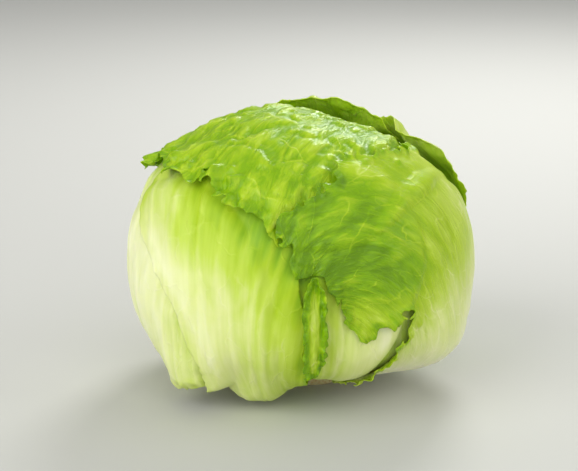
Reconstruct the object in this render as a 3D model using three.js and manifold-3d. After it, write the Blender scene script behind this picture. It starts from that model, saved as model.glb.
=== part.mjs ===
// Iceberg lettuce: a whole head of leaves standing on its cut stem.
// Millimetres, +Z up. The origin is the centre of the stem's cut face, and the head's front faces -Y.
// Every leaf is a thin curved shell that grows from the stem. The leaves are laid one over the other,
// from the heart outwards, in the order of the list of leaves below.
import * as THREE from "three";
import Module from "manifold-3d";
import { mergeVertices } from "three/addons/utils/BufferGeometryUtils.js";

// Driving dimensions of the head
const HEAD_WIDTH = 167;
const HEAD_DEPTH = 157;
const HEAD_WIDEST = 59; // height at which the head is widest
const HEAD_TOP = 133;
const HEAD_UNDERSIDE = 9;
const HEAD_LEANS_LEFT = 5;
const FULLNESS_ABOVE = 2.3; // exponent of the head's outline: 2 is an ellipse, more is fuller
const FULLNESS_BELOW = 3;

// Driving dimensions of the stem, from its cut face up
const STEM_RADIUS = 14;
const STEM_CUT_RADIUS = 13;
const STEM_LENGTH = 52;
const STEM_SIDES = 28;
const STEM_TO_HEART = 0.6;
const STEM_TO_LEAF = 2.5;

// Driving dimensions of the leaves
const LEAF_THICKNESS = 1.2;
const LEAF_GAP = 0.9;
const LAYER = LEAF_THICKNESS + LEAF_GAP;
const REACH_RADIUS = 76; // a leaf's reach in millimetres is an arc of this radius
const SPARE_LAYERS = 1.2; // layers' worth of room between the leaves' average stack and the head's outline
const REACH_BLEND = 24; // how far the head's inside evens out around a leaf's edge

// The net of directions that every leaf is cut from
const NET_DETAIL = 6;
const NET_EDGE = 15;
const DRAPE_LENGTH = 18;
const SHORTEST_CUT = 0.15; // share of a net edge that a leaf's edge keeps clear of the net's corners

// A small leaf that is narrower than the net
const SLIVER_CLEARANCE = 2.2;
const SLIVER_ROWS = 9;
const SLIVER_COLUMNS = 4;

const headCentre = new THREE.Vector3(-HEAD_LEANS_LEFT, 0, HEAD_WIDEST);

// A shallow hollow at the back of the crown, which the tips of the back leaves stand up around
const crownHollow = { azimuth: 110, latitude: 52, depth: 7, spread: 34 };

// A leaf's middle is at an azimuth (0 is the front, 90 the right) and a latitude on the head, in degrees.
// Its outline is a list of [bearing, reach]: bearing 0 is up, 90 is right as seen from outside, 180 is
// down to the stem; reach is how far the leaf runs that way from its middle, in millimetres.
// A knuckle is a bulge of the leaf's rib, and a flare is a stretch of its edge that stands off the head.
const leaves = [
  {
    name: "left_lower_leaf",
    azimuth: -52,
    latitude: -2,
    outline: [
      [0, 44], [45, 46], [90, 48], [135, 58], [163, 84], [180, 108],
      [197, 84], [225, 58], [270, 48], [315, 46],
    ],
    colour: 0xdfe9a8,
  },
  {
    name: "right_lower_leaf",
    azimuth: 60,
    latitude: 0,
    outline: [
      [0, 45], [45, 50], [90, 54], [135, 60], [160, 86], [172, 112],
      [196, 112], [208, 80], [230, 62], [270, 48], [315, 46],
    ],
    knuckle: { azimuth: 70, latitude: -32, rise: 6, spread: 26 },
    colour: 0xc6d87c,
  },
  {
    name: "back_left_leaf",
    azimuth: -142,
    latitude: 8,
    outline: [
      [0, 62], [45, 62], [90, 56], [135, 60], [163, 88], [180, 114],
      [197, 88], [225, 60], [270, 54], [315, 58],
    ],
    colour: 0xb4cf62,
  },
  {
    name: "front_right_leaf",
    azimuth: 14,
    latitude: 8,
    outline: [
      [0, 50], [45, 42], [85, 35], [113, 30], [131, 36], [145, 40], [160, 50],
      [170, 76], [178, 114], [190, 114], [205, 72], [235, 44], [270, 36], [315, 42],
    ],
    colour: 0xdbe6a5,
  },
  {
    name: "left_leaf",
    azimuth: -95,
    latitude: 4,
    outline: [
      [0, 46], [30, 52], [60, 62], [90, 72], [114, 88], [126, 88], [136, 76], [146, 68],
      [158, 86], [170, 112], [186, 114], [200, 90], [225, 62], [270, 56], [315, 44],
    ],
    knuckle: { azimuth: -52, latitude: -37, rise: 13, spread: 20 },
    colour: 0xd3e08e,
  },
  {
    name: "front_left_leaf",
    azimuth: -30,
    latitude: 8,
    outline: [
      [0, 58], [30, 50], [53, 40], [90, 38], [115, 45], [136, 58], [155, 82], [168, 114],
      [184, 114], [189, 66], [194, 42], [235, 26], [273, 36], [287, 54], [300, 66], [315, 70],
      [335, 64],
    ],
    knuckle: { azimuth: -27, latitude: -48, rise: 13, spread: 17 },
    colour: 0xe6eebb,
  },
  {
    name: "crown_leaf",
    azimuth: 160,
    latitude: 70,
    outline: [
      [5, 103], [14, 93], [26, 90], [40, 87], [65, 85], [95, 78], [125, 72], [150, 92],
      [165, 190], [195, 190], [210, 92], [240, 66], [275, 68], [301, 84], [325, 108], [346, 114],
      [354, 108],
    ],
    colour: 0xa5c646,
  },
  {
    name: "right_leaf",
    azimuth: 68,
    latitude: 26,
    outline: [
      [0, 32], [30, 36], [60, 46], [90, 60], [120, 74], [150, 100], [168, 138], [190, 138],
      [204, 114], [212, 99], [217, 85], [220, 74], [223, 64], [227, 57], [232, 56], [235, 65],
      [238, 76], [249, 79], [266, 79], [272, 87], [280, 90], [289, 87], [296, 76], [307, 62],
      [321, 50], [332, 39], [345, 32],
    ],
    colour: 0x8fba28,
  },
  {
    name: "back_leaf",
    azimuth: 168,
    latitude: 6,
    outline: [
      [0, 82], [40, 70], [90, 55], [130, 62], [162, 88], [180, 114],
      [198, 88], [230, 62], [270, 52], [305, 62], [320, 80], [332, 88], [344, 88],
    ],
    flare: { bearing: 342, spread: 32, rise: 5.5, depth: 26 },
    colour: 0x9cc23c,
  },
  {
    name: "back_right_leaf",
    azimuth: 124,
    latitude: 6,
    outline: [
      [0, 62], [20, 62], [40, 60], [90, 50], [130, 56], [162, 86], [180, 114], [198, 80],
      [230, 44], [270, 22], [292, 26], [305, 36], [316, 50], [328, 60], [342, 66],
    ],
    flare: { bearing: 330, spread: 26, rise: 5, depth: 24 },
    colour: 0xabc94e,
  },
  {
    name: "back_lower_leaf",
    azimuth: -165,
    latitude: -10,
    outline: [
      [0, 40], [50, 46], [90, 46], [130, 54], [160, 80], [180, 100],
      [200, 80], [230, 54], [270, 46], [310, 44],
    ],
    colour: 0xd6e398,
  },
];

// The narrow leaf that lies up the front, from the stem over the two front leaves
const sliverLeaf = {
  name: "sliver_leaf",
  azimuth: 4,
  latitudes: [-31, 10],
  halfWidths: [3.5, 4.8, 5.5, 5.8, 5.5, 4.5, 2.5],
  colour: 0x9cc22e,
};

const radians = THREE.MathUtils.degToRad;
const smoothstep = THREE.MathUtils.smoothstep;

// The direction from the head's centre at an azimuth and a latitude
function directionAt(azimuth, latitude) {
  const a = radians(azimuth);
  const b = radians(latitude);
  return new THREE.Vector3(Math.cos(b) * Math.sin(a), -Math.cos(b) * Math.cos(a), Math.sin(b));
}

// A smooth closed curve through the outline's points, with no overshoot: reach as a function of bearing
function reachCurve(outline) {
  const count = outline.length;
  const knot = (i) => outline[((i % count) + count) % count];
  const step = (i) => (knot(i + 1)[0] - knot(i)[0] + 360) % 360;
  const rise = (i) => (knot(i + 1)[1] - knot(i)[1]) / step(i);
  const slope = (i) => {
    const before = rise(i - 1);
    const after = rise(i);
    return before * after <= 0 ? 0 : (2 * before * after) / (before + after);
  };
  return (bearing) => {
    let i = 0;
    while (i < count - 1 && knot(i + 1)[0] <= bearing) i++;
    if (bearing < knot(0)[0]) i = count - 1;
    const span = step(i);
    const t = ((bearing - knot(i)[0] + 360) % 360) / span;
    const start = knot(i)[1] * (1 + 2 * t) * (1 - t) ** 2 + slope(i) * span * t * (1 - t) ** 2;
    const end = knot(i + 1)[1] * t * t * (3 - 2 * t) - slope(i + 1) * span * t * t * (1 - t);
    return start + end;
  };
}

// How far a direction is inside a leaf's edge, in millimetres, and its bearing from the leaf's middle
function placeOnLeaf(leaf, direction) {
  leaf.middle ??= directionAt(leaf.azimuth, leaf.latitude);
  leaf.up ??= directionAt(leaf.azimuth, leaf.latitude + 90);
  leaf.right ??= directionAt(leaf.azimuth + 90, 0);
  leaf.reach ??= reachCurve(leaf.outline);
  const bearing = Math.atan2(direction.dot(leaf.right), direction.dot(leaf.up));
  const degrees = (THREE.MathUtils.radToDeg(bearing) + 360) % 360;
  const inside = leaf.reach(degrees) - direction.angleTo(leaf.middle) * REACH_RADIUS;
  return { inside, degrees };
}

// The head's outer radius: an ellipse all round, domed above its widest height and flatter below it
function headRadius(direction) {
  const above = direction.z > 0;
  const rise = above ? HEAD_TOP - HEAD_WIDEST : HEAD_WIDEST - HEAD_UNDERSIDE;
  const fullness = above ? FULLNESS_ABOVE : FULLNESS_BELOW;
  const across = Math.hypot((2 * direction.x) / HEAD_WIDTH, (2 * direction.y) / HEAD_DEPTH);
  const { azimuth, latitude, depth, spread } = crownHollow;
  const away = direction.angleTo(directionAt(azimuth, latitude)) * REACH_RADIUS;
  const outline = (across ** fullness + Math.abs(direction.z / rise) ** fullness) ** (-1 / fullness);
  return outline - depth * Math.exp(-((away / spread) ** 2));
}

function knuckleRise(leaf, direction) {
  if (!leaf.knuckle) return 0;
  const { azimuth, latitude, rise, spread } = leaf.knuckle;
  const away = direction.angleTo(directionAt(azimuth, latitude)) * REACH_RADIUS;
  return rise * Math.exp(-((away / spread) ** 2));
}

function flareRise(leaf, place) {
  if (!leaf.flare) return 0;
  const { bearing, spread, rise, depth } = leaf.flare;
  const turn = THREE.MathUtils.euclideanModulo(place.degrees - bearing + 180, 360) - 180;
  return rise * Math.exp(-((turn / spread) ** 2)) * (1 - smoothstep(place.inside, 0, depth));
}

// The heart's radius and each leaf's inner radius in one direction.
// A leaf lies one layer above every leaf inside it that it covers, and drapes down beyond that leaf's edge.
function layersAt(direction, places, isCovered) {
  const stacked = places.reduce((sum, p) => sum + smoothstep(p.inside, -REACH_BLEND, REACH_BLEND), 0);
  const heart = headRadius(direction) - LAYER * (stacked + SPARE_LAYERS);
  const lifts = [];
  leaves.forEach((leaf, k) => {
    let lift = LAYER / 2;
    for (let j = 0; j < k; j++) {
      const drape = smoothstep(places[j].inside, -NET_EDGE - DRAPE_LENGTH, -NET_EDGE);
      lift = Math.max(lift, (isCovered(j) ? 1 : drape) * (lifts[j] + LAYER));
    }
    lifts.push(lift + knuckleRise(leaf, direction) + flareRise(leaf, places[k]));
  });
  return { heart, places, radii: lifts.map((lift) => heart + lift) };
}

// A closed thin shell from a patch of triangles with an outer and an inner point at each corner
function shellGeometry(outer, inner, triangles) {
  const count = outer.length;
  const index = [];
  const edges = new Set();
  for (const [a, b, c] of triangles) {
    index.push(a, b, c, a + count, c + count, b + count);
    for (const edge of [[a, b], [b, c], [c, a]]) edges.add(edge.join());
  }
  for (const edge of edges) {
    const [a, b] = edge.split(",").map(Number);
    if (!edges.has([b, a].join())) index.push(b, a, a + count, b, a + count, b + count);
  }
  return new THREE.BufferGeometry().setFromPoints([...outer, ...inner]).setIndex(index);
}

// The net of directions, a finely divided icosahedron, with the layers at each of its corners
function directionNet() {
  const ball = new THREE.IcosahedronGeometry(1, NET_DETAIL);
  ball.deleteAttribute("normal");
  ball.deleteAttribute("uv");
  const merged = mergeVertices(ball);
  const position = merged.getAttribute("position");
  const directions = Array.from({ length: position.count }, (_, i) =>
    new THREE.Vector3().fromBufferAttribute(position, i).normalize(),
  );
  const triangles = [];
  for (let i = 0; i < merged.index.count; i += 3) triangles.push([...merged.index.array.slice(i, i + 3)]);
  const places = directions.map((direction) => leaves.map((leaf) => placeOnLeaf(leaf, direction)));
  const covered = leaves.map((_, k) => {
    const cut = triangles.filter((triangle) => triangle.some((i) => places[i][k].inside > 0));
    return new Set(cut.flat());
  });
  const layers = directions.map((direction, i) => layersAt(direction, places[i], (j) => covered[j].has(i)));
  return { directions, triangles, layers };
}

function pointAt(direction, radius) {
  return direction.clone().multiplyScalar(radius).add(headCentre);
}

// One leaf, cut from the net along its outline and round the stem
function leafGeometry(net, k) {
  const corners = net.directions.map((direction, i) => {
    const { places, radii } = net.layers[i];
    const inner = pointAt(direction, radii[k]);
    const outer = pointAt(direction, radii[k] + LEAF_THICKNESS);
    const fromStem = Math.hypot(inner.x, inner.y) - STEM_RADIUS - STEM_TO_LEAF;
    const keep = inner.z < headCentre.z ? Math.min(places[k].inside, fromStem) : places[k].inside;
    return { inner, outer, keep };
  });
  const outer = [];
  const inner = [];
  const numbers = new Map();
  const addPoint = (key, make) => {
    if (!numbers.has(key)) {
      numbers.set(key, outer.length);
      outer.push(make("outer"));
      inner.push(make("inner"));
    }
    return numbers.get(key);
  };
  const cornerPoint = (i) => addPoint(`${i}`, (side) => corners[i][side]);
  const cutPoint = (i, j) => {
    const [a, b] = i < j ? [i, j] : [j, i];
    const share = corners[a].keep / (corners[a].keep - corners[b].keep);
    const clear = THREE.MathUtils.clamp(share, SHORTEST_CUT, 1 - SHORTEST_CUT);
    return addPoint(`${a}-${b}`, (side) => corners[a][side].clone().lerp(corners[b][side], clear));
  };
  const triangles = [];
  for (const triangle of net.triangles) {
    const ring = [];
    triangle.forEach((i, n) => {
      const j = triangle[(n + 1) % 3];
      if (corners[i].keep > 0) ring.push(cornerPoint(i));
      if (corners[i].keep > 0 !== corners[j].keep > 0) ring.push(cutPoint(i, j));
    });
    for (let n = 2; n < ring.length; n++) triangles.push([ring[0], ring[n - 1], ring[n]]);
  }
  return shellGeometry(outer, inner, triangles);
}

// The narrow leaf, a strip along one meridian that lies on the outermost layer below it
function sliverGeometry() {
  const widths = sliverLeaf.halfWidths.map((w, i) => new THREE.Vector2(i, w));
  const widthCurve = new THREE.SplineCurve(widths);
  const outer = [];
  const inner = [];
  const triangles = [];
  for (let row = 0; row < SLIVER_ROWS; row++) {
    const along = row / (SLIVER_ROWS - 1);
    const latitude = THREE.MathUtils.lerp(...sliverLeaf.latitudes, along);
    const arc = widthCurve.getPoint(along).y / (REACH_RADIUS * Math.cos(radians(latitude)));
    for (let column = 0; column <= SLIVER_COLUMNS; column++) {
      const across = (2 * column) / SLIVER_COLUMNS - 1;
      const turn = THREE.MathUtils.radToDeg(arc * across);
      const direction = directionAt(sliverLeaf.azimuth + turn, latitude);
      const places = leaves.map((leaf) => placeOnLeaf(leaf, direction));
      const isCovered = (k) => places[k].inside > -NET_EDGE;
      const below = layersAt(direction, places, isCovered).radii.filter((_, k) => isCovered(k));
      const radius = Math.max(...below) + LEAF_THICKNESS + SLIVER_CLEARANCE;
      inner.push(pointAt(direction, radius));
      outer.push(pointAt(direction, radius + LEAF_THICKNESS));
    }
  }
  const corner = (row, column) => row * (SLIVER_COLUMNS + 1) + column;
  for (let row = 0; row < SLIVER_ROWS - 1; row++) {
    for (let column = 0; column < SLIVER_COLUMNS; column++) {
      const [a, b] = [corner(row, column), corner(row, column + 1)];
      const [c, d] = [corner(row + 1, column + 1), corner(row + 1, column)];
      triangles.push([a, b, c], [a, c, d]);
    }
  }
  return shellGeometry(outer, inner, triangles);
}

// The stem: a stout core with a flat cut face, tapering to a blunt tip inside the heart
function stemGeometry(clearance = 0) {
  const profile = [
    [0, -clearance],
    [STEM_CUT_RADIUS, -clearance],
    [STEM_RADIUS, 1],
    [STEM_RADIUS, 8],
    [0.9 * STEM_RADIUS, 0.4 * STEM_LENGTH],
    [0.65 * STEM_RADIUS, 0.75 * STEM_LENGTH],
    [0.35 * STEM_RADIUS, 0.95 * STEM_LENGTH],
    [0, STEM_LENGTH + clearance],
  ];
  const points = profile.map(([r, z]) => new THREE.Vector2(r > 0 ? r + clearance : 0, z));
  return new THREE.LatheGeometry(points, STEM_SIDES).rotateX(Math.PI / 2);
}

const wasm = await Module();
wasm.setup();

function solidFrom(geometry) {
  const plain = geometry.clone();
  plain.deleteAttribute("normal");
  plain.deleteAttribute("uv");
  const merged = mergeVertices(plain, 1e-4);
  const vertProperties = new Float32Array(merged.getAttribute("position").array);
  const triVerts = new Uint32Array(merged.index.array);
  return new wasm.Manifold(new wasm.Mesh({ numProp: 3, vertProperties, triVerts }));
}

function geometryFrom(solid) {
  const mesh = solid.getMesh();
  return new THREE.BufferGeometry()
    .setAttribute("position", new THREE.BufferAttribute(mesh.vertProperties, 3))
    .setIndex(new THREE.BufferAttribute(mesh.triVerts, 1));
}

// The heart: the tight bud of small leaves in the middle, with a socket where the stem grows into it
function heartGeometry(net) {
  const points = net.directions.map((direction, i) => pointAt(direction, net.layers[i].heart));
  const ball = new THREE.BufferGeometry().setFromPoints(points).setIndex(net.triangles.flat());
  return geometryFrom(solidFrom(ball).subtract(solidFrom(stemGeometry(STEM_TO_HEART))));
}

function piece(name, geometry, colour, roughness) {
  const material = new THREE.MeshStandardMaterial({ color: colour, roughness, metalness: 0 });
  const mesh = new THREE.Mesh(geometry, material);
  mesh.name = name;
  return mesh;
}

const net = directionNet();
const lettuce = new THREE.Group();
lettuce.name = "iceberg_lettuce";
lettuce.add(piece("stem", stemGeometry(), 0xd8cfa6, 0.7));
lettuce.add(piece("heart", heartGeometry(net), 0xeef0c0, 0.5));
leaves.forEach((leaf, k) => lettuce.add(piece(leaf.name, leafGeometry(net, k), leaf.colour, 0.4)));
lettuce.add(piece(sliverLeaf.name, sliverGeometry(), sliverLeaf.colour, 0.4));

export default lettuce;
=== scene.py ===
# %% [markdown]
# # An iceberg lettuce, leaf by leaf
# A head of iceberg lettuce is a ball of leaves that all grow from one short stem. Each leaf lies on the leaves
# inside it, so its shape is mostly given by what it covers. This lesson builds the head the same way: one rule
# lays the leaves over each other, and Geometry Nodes then press ribs, folds and frills into them.
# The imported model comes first, because every piece here stands for one of its nodes.

import itertools
import math

import bmesh
import bpy
import numpy as np
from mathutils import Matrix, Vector


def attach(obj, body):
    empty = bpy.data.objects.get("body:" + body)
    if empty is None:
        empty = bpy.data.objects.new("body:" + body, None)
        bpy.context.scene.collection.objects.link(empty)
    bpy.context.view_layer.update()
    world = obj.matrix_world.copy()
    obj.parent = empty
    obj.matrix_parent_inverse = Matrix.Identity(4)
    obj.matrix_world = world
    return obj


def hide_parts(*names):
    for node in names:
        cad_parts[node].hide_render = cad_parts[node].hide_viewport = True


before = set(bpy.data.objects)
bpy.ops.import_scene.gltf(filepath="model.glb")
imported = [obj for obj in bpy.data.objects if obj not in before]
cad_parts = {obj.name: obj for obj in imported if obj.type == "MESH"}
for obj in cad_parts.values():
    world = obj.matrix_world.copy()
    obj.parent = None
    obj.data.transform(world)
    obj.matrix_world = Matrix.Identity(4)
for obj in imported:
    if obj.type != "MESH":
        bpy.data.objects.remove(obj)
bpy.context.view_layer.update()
print("nodes:", ", ".join(sorted(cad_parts)))

# %% [markdown]
# ## The camera
# The camera is set before anything is modelled, so that every trial render can be laid beside the photograph.
# The head is seen from its front, a little from above, through a long lens that hardly changes its proportions.
# The frame is 578 pixels wide and shows 274 mm at the head's middle, so the lens follows from the distance.

# %% Place the camera
MM = 0.001
VIEW_ELEVATION = math.radians(16)
VIEW_DISTANCE = 900 * MM
VIEW_WIDTH = 274 * MM
view_target = Vector((-10.9, 0, 70.8)) * MM
view_back = Vector((0, -math.cos(VIEW_ELEVATION), math.sin(VIEW_ELEVATION)))

camera = bpy.data.objects.new("camera", bpy.data.cameras.new("camera"))
bpy.context.scene.collection.objects.link(camera)
camera.data.sensor_fit = "HORIZONTAL"
camera.data.lens = camera.data.sensor_width * VIEW_DISTANCE / VIEW_WIDTH
camera.location = view_target + view_back * VIEW_DISTANCE
camera.rotation_euler = (math.pi / 2 - VIEW_ELEVATION, 0, 0)
bpy.context.scene.camera = camera
print("lens", round(camera.data.lens, 1), "mm")

# %% [markdown]
# ## One net of directions
# All leaves wrap the same middle point, so a leaf can be described by how far out it lies in each direction.
# A grid of latitudes would crowd at its poles. An icosahedron with finely divided faces has triangles of nearly
# one size everywhere, and because all leaves share it, a leaf that lies further out can never cut through
# one below it.

# %% Make the net
HEAD_CENTRE = np.array([-5.0, 0.0, 59.0])
NET_STEPS = 90


def direction_net(steps):
    ball = bmesh.new()
    bmesh.ops.create_icosphere(ball, subdivisions=1, radius=1)
    ball.verts.ensure_lookup_table()
    corners = np.array([v.co for v in ball.verts])
    faces = np.array([[v.index for v in f.verts] for f in ball.faces])
    ball.free()
    rows = [(i, j) for i in range(steps + 1) for j in range(steps + 1 - i)]
    number = {place: n for n, place in enumerate(rows)}
    shares = np.array([(i, j, steps - i - j) for i, j in rows]) / steps
    small = []
    for i, j in rows:
        if i + j < steps:
            small.append((number[i, j], number[i + 1, j], number[i, j + 1]))
        if i + j < steps - 1:
            small.append((number[i + 1, j], number[i + 1, j + 1], number[i, j + 1]))
    points = np.einsum("rs,fsk->frk", shares, corners[faces]).reshape(-1, 3)
    points /= np.linalg.norm(points, axis=1)[:, None]
    triangles = (np.array(small)[None] + len(rows) * np.arange(len(faces))[:, None, None]).reshape(-1, 3)
    _, first, merged = np.unique(np.round(points, 5), axis=0, return_index=True, return_inverse=True)
    points, triangles = points[first], merged.reshape(-1)[triangles]
    a, b, c = (points[triangles[:, n]] for n in range(3))
    inward = np.einsum("ij,ij->i", np.cross(b - a, c - a), a) < 0
    triangles[inward] = triangles[inward][:, ::-1]
    return points, triangles


net, net_triangles = direction_net(NET_STEPS)
print(len(net), "directions and", len(net_triangles), "triangles")

# %% [markdown]
# ## The leaves' outlines
# A leaf is placed by the azimuth and latitude of its middle, and its outline is a short list of bearings and
# reaches round that middle: bearing 0 is up, 90 right, 180 down to the stem. A smooth curve runs through them
# without overshooting. The list runs from the innermost leaf to the outermost one.
# The other entries say how a leaf looks. "grows" is the azimuth its middle rib comes from. "tone" lists how pale
# it is, from 0 for deep green to 1 for the white of the ribs, at distances from the stem, and "side_tone" what
# is added to that beside the middle rib; in places these also hold painted light, which is said at the leaf.
# "rim" is how much greener its margin is. The crease entry says how strongly fine creases show, both in the bump
# and as painted light and shade along them. "ragged" is how far its edge wanders, in long lobes and small teeth.
# "relief" holds the heights and widths of what is pressed into it. All lengths are millimetres.

# %% List the leaves
LEAVES = [
    {
        "name": "left_lower_leaf", "azimuth": -52, "latitude": -2, "grows": -52, "seed": 3,
        "outline": [(0, 44), (45, 46), (90, 48), (135, 58), (163, 84), (180, 108), (197, 84), (225, 58), (270, 48),
                    (315, 46)],
        "tone": [(60, 0.9), (120, 0.7), (170, 0.45)], "ragged": (1.5, 0.8),
        "relief": {"Rib Height": 0.6, "Frill Height": 1.0},
    },
    {
        "name": "right_lower_leaf", "azimuth": 60, "latitude": 0, "grows": 62, "seed": 5,
        "outline": [(0, 45), (45, 50), (90, 54), (135, 60), (160, 86), (172, 112), (196, 112), (208, 80), (230, 62),
                    (270, 48), (315, 46)],
        "knuckle": (70, -32, 6, 26),
        "tone": [(60, 0.74), (110, 0.64), (150, 0.45)], "ragged": (1.5, 0.8),
        "relief": {"Rib Height": 0.3, "Rib Width": 20.0, "Frill Height": 1.0},
    },
    {
        "name": "back_left_leaf", "azimuth": -142, "latitude": 8, "grows": -142, "seed": 7,
        "outline": [(0, 62), (45, 62), (90, 56), (135, 60), (163, 88), (180, 114), (197, 88), (225, 60), (270, 54),
                    (315, 58)],
        "tone": [(50, 0.75), (110, 0.5), (170, 0.36)], "ragged": (2.0, 1.2),
        "relief": {"Rib Height": 0.5, "Fold Height": 1.0, "Frill Height": 2.0, "Curl Height": 0.8},
    },
    {
        "name": "front_right_leaf", "azimuth": 14, "latitude": 8, "grows": 20, "seed": 11,
        "outline": [(0, 50), (45, 42), (85, 35), (113, 30), (131, 36), (145, 40), (160, 50), (170, 76), (178, 114),
                    (190, 114), (205, 72), (235, 44), (270, 36), (315, 42)],
        "tone": [(60, 0.78), (95, 0.84), (112, 0.64), (124, 0.3), (150, 0.25)],
        "side_tone": [(-22, -0.24), (-8, -0.12), (2, 0), (12, 0.06), (24, 0.1)], "ragged": (0.5, 0.0),
        "relief": {"Swell Height": 0.8, "Rib Height": 0.1, "Rib Width": 22.0, "Frill Height": 0.2},
    },
    {
        "name": "left_leaf", "azimuth": -95, "latitude": 4, "grows": -80, "seed": 13,
        "outline": [(0, 46), (30, 52), (60, 62), (90, 72), (114, 88), (126, 88), (136, 76), (146, 68), (158, 86),
                    (170, 112), (186, 114), (200, 90), (225, 62), (270, 56), (315, 44)],
        "knuckle": (-52, -37, 13, 20),
        "tone": [(60, 0.85), (120, 0.92), (150, 0.72), (180, 0.5)],
        "side_tone": [(0, 0), (30, 0), (45, -0.15)], "ragged": (1.6, 1.2),
        "relief": {"Rib Height": 0.45, "Frill Height": 2.5, "Curl Height": 0.6},
    },
    {
        "name": "front_left_leaf", "azimuth": -30, "latitude": 8, "grows": -27, "seed": 17,
        "outline": [(0, 58), (30, 50), (53, 40), (90, 38), (115, 45), (136, 58), (155, 82), (168, 114), (184, 114),
                    (189, 66), (194, 42), (235, 26), (273, 36), (287, 54), (300, 66), (315, 70), (335, 64)],
        "knuckle": (-27, -48, 13, 17),
        "tone": [(40, 0.8), (95, 0.84), (118, 0.72), (138, 0.48), (160, 0.34), (180, 0.26)],
        # Beside the middle rib, the large rise on the left is partly paler rib tissue and partly painted light: the
        # bright band where the left side catches the lamps.
        "side_tone": [(-50, 0.34), (-37, 0.3), (-22, 0.06), (0, -0.04), (20, -0.16), (32, -0.38)],
        "ragged": (0.8, 0.3),
        "relief": {"Swell Height": 1.1, "Rib Height": 0.35, "Rib Width": 12.0, "Fold Height": 0.15,
                   "Frill Height": 0.6},
    },
    {
        "name": "crown_leaf", "azimuth": 160, "latitude": 70, "grows": 142, "seed": 19,
        "outline": [(5, 103), (14, 93), (26, 90), (40, 87), (65, 85), (95, 78), (125, 72), (150, 92), (165, 190),
                    (195, 190), (210, 92), (240, 66), (275, 68), (301, 84), (325, 108), (346, 114), (354, 108)],
        "tone": [(60, 0.62), (120, 0.38), (180, 0.36), (230, 0.32), (275, 0.33)], "crease": 1.0, "ragged": (4.4, 3.4),
        "relief": {"Swell Height": 2.0, "Swell Length": 34.0, "Rib Height": 0.3, "Fold Height": 1.4,
                   "Fold Width": 6.0, "Frill Height": 4.0, "Frill Length": 8.0, "Curl Height": 1.4},
    },
    {
        "name": "right_leaf", "azimuth": 68, "latitude": 26, "grows": 90, "seed": 23,
        "outline": [(0, 32), (30, 36), (60, 46), (90, 60), (120, 74), (150, 100), (168, 138), (190, 138), (204, 114),
                    (212, 99), (217, 85), (220, 74), (223, 64), (227, 57), (232, 56), (235, 65), (238, 76), (249, 79),
                    (266, 79), (272, 87), (280, 90), (289, 87), (296, 76), (307, 62), (321, 50), (332, 39),
                    (345, 32)],
        "tone": [(50, 0.8), (95, 0.54), (122, 0.31), (165, 0.25), (215, 0.27)], "crease": 0.6, "rim": 0.4,
        "side_tone": [(-94, -0.04), (-78, -0.04), (-66, 0), (-52, 0.18), (-38, 0.22), (-22, 0.32), (0, 0.42),
                      (30, 0.25)],
        "ragged": (3.2, 2.8),
        "relief": {"Swell Height": 1.8, "Swell Length": 38.0, "Rib Height": 0.3, "Rib Width": 9.0,
                   "Fold Height": 0.3, "Fold Width": 13.0, "Frill Height": 2.0, "Frill Length": 6.0,
                   "Frill Depth": 8.0, "Curl Height": 0.6},
    },
    {
        "name": "back_leaf", "azimuth": 168, "latitude": 6, "grows": 168, "seed": 29,
        "outline": [(0, 82), (40, 70), (90, 55), (130, 62), (162, 88), (180, 114), (198, 88), (230, 62), (270, 52),
                    (305, 62), (320, 80), (332, 88), (344, 88)],
        "flare": (342, 32, 5.5, 26),
        # The rise in tone at the tip is painted light: the bright rim of the flared tip, lit through from behind.
        "tone": [(50, 0.75), (100, 0.48), (150, 0.38), (175, 0.46), (200, 0.64)], "ragged": (2.0, 1.0),
        "relief": {"Rib Height": 0.5, "Fold Height": 1.1, "Frill Height": 1.4, "Curl Height": 0.5},
    },
    {
        "name": "back_right_leaf", "azimuth": 124, "latitude": 6, "grows": 124, "seed": 31,
        "outline": [(0, 62), (20, 62), (40, 60), (90, 50), (130, 56), (162, 86), (180, 114), (198, 80), (230, 44),
                    (270, 22), (292, 26), (305, 36), (316, 50), (328, 60), (342, 66)],
        "flare": (330, 26, 5, 24),
        # The rise in tone at the tip is painted light: the bright rim of the flared tip, lit through from behind.
        "tone": [(50, 0.75), (100, 0.5), (140, 0.5), (170, 0.74)], "ragged": (2.0, 1.0),
        "relief": {"Rib Height": 0.6, "Fold Height": 0.9, "Frill Height": 1.1, "Curl Height": 0.5},
    },
    {
        "name": "back_lower_leaf", "azimuth": -165, "latitude": -10, "grows": -165, "seed": 37,
        "outline": [(0, 40), (50, 46), (90, 46), (130, 54), (160, 80), (180, 100), (200, 80), (230, 54), (270, 46),
                    (310, 44)],
        "tone": [(50, 0.85), (100, 0.68), (150, 0.42)], "ragged": (2.0, 1.4),
        "relief": {"Rib Height": 0.7, "Fold Height": 0.5, "Frill Height": 2.0, "Curl Height": 1.0},
    },
]
print(len(LEAVES), "leaves, from", LEAVES[0]["name"], "out to", LEAVES[-1]["name"])

# %% [markdown]
# ## Where a direction lies on a leaf
# Each leaf needs two facts about every direction of the net: how far inside its edge it lies, and where it lies
# between stem and tip. The first comes from the shortest way to a point of the outline. The second uses the
# line that the middle rib follows from the stem: the distance along that line and the distance beside it.
# Divided by each other, these two fan out from the stem as the leaf's ribs do.

# %% Measure directions on a leaf
ARC = 76.0
RIB_ORIGIN = 45.0
FAN_AT = 110.0


def direction_at(azimuth, latitude):
    a, b = np.radians(azimuth), np.radians(latitude)
    return np.stack([np.cos(b) * np.sin(a), -np.cos(b) * np.cos(a), np.sin(b)], -1)


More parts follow.
